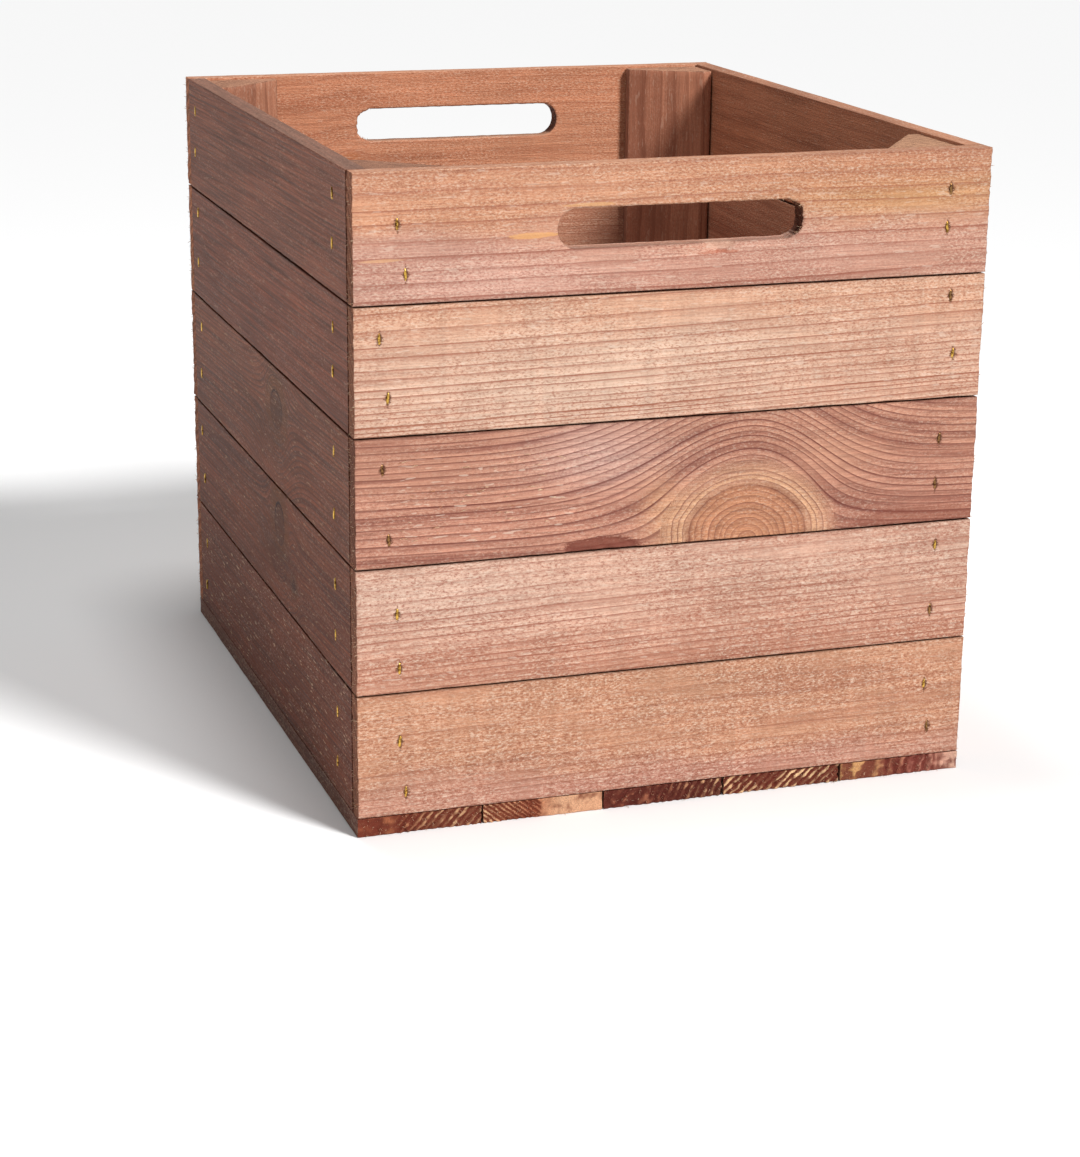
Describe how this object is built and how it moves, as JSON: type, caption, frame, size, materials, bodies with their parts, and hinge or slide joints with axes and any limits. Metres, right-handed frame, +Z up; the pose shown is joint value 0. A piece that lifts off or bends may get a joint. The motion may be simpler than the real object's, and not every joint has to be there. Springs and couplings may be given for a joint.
{
  "type": "slatted wooden crate",
  "caption": "Open-top slatted wooden crate for apples, with a hand slot in each end wall and triangular posts in the corners.",
  "frame": {"origin": "on the floor under the middle of the crate's outline", "axes": "+Z up; the front wall, below which the bottom slats show their end grain, faces -Y; +X is to the right as seen from the front"},
  "size_m": [0.33, 0.385, 0.331],
  "materials": {
    "front_board_wood": "rough-sawn softwood, stained and singed to orange pink, matte",
    "back_board_wood": "rough-sawn softwood, stained orange brown, matte",
    "left_board_wood": "rough-sawn softwood, stained brown, matte, with saw marks",
    "right_board_wood": "rough-sawn softwood, stained brown, matte",
    "bottom_slat_wood": "rough-sawn softwood, stained dark red brown, matte, with pale torn end grain",
    "corner_post_wood": "ripped softwood batten, stained brown pink, matte",
    "staple_wire": "flat steel wire with a gold resin coating, satin"
  },
  "bodies": {
    "root": {"front_board_1": "front_board_wood", "front_board_2": "front_board_wood", "front_board_3": "front_board_wood", "front_board_4": "front_board_wood", "front_board_5": "front_board_wood", "back_board_1": "back_board_wood", "back_board_2": "back_board_wood", "back_board_3": "back_board_wood", "back_board_4": "back_board_wood", "back_board_5": "back_board_wood", "left_board_1": "left_board_wood", "left_board_2": "left_board_wood", "left_board_3": "left_board_wood", "left_board_4": "left_board_wood", "left_board_5": "left_board_wood", "right_board_1": "right_board_wood", "right_board_2": "right_board_wood", "right_board_3": "right_board_wood", "right_board_4": "right_board_wood", "right_board_5": "right_board_wood", "bottom_slat_1": "bottom_slat_wood", "bottom_slat_2": "bottom_slat_wood", "bottom_slat_3": "bottom_slat_wood", "bottom_slat_4": "bottom_slat_wood", "bottom_slat_5": "bottom_slat_wood", "corner_post_front_left": "corner_post_wood", "corner_post_front_right": "corner_post_wood", "corner_post_back_left": "corner_post_wood", "corner_post_back_right": "corner_post_wood", "front_staple_01": "staple_wire", "front_staple_02": "staple_wire", "front_staple_03": "staple_wire", "front_staple_04": "staple_wire", "front_staple_05": "staple_wire", "front_staple_06": "staple_wire", "front_staple_07": "staple_wire", "front_staple_08": "staple_wire", "front_staple_09": "staple_wire", "front_staple_10": "staple_wire", "front_staple_11": "staple_wire", "front_staple_12": "staple_wire", "front_staple_13": "staple_wire", "front_staple_14": "staple_wire", "front_staple_15": "staple_wire", "front_staple_16": "staple_wire", "front_staple_17": "staple_wire", "front_staple_18": "staple_wire", "front_staple_19": "staple_wire", "front_staple_20": "staple_wire", "left_staple_01": "staple_wire", "left_staple_02": "staple_wire", "left_staple_03": "staple_wire", "left_staple_04": "staple_wire", "left_staple_05": "staple_wire", "left_staple_06": "staple_wire", "left_staple_07": "staple_wire", "left_staple_08": "staple_wire", "left_staple_09": "staple_wire", "left_staple_10": "staple_wire"}
  },
  "joints": []
}
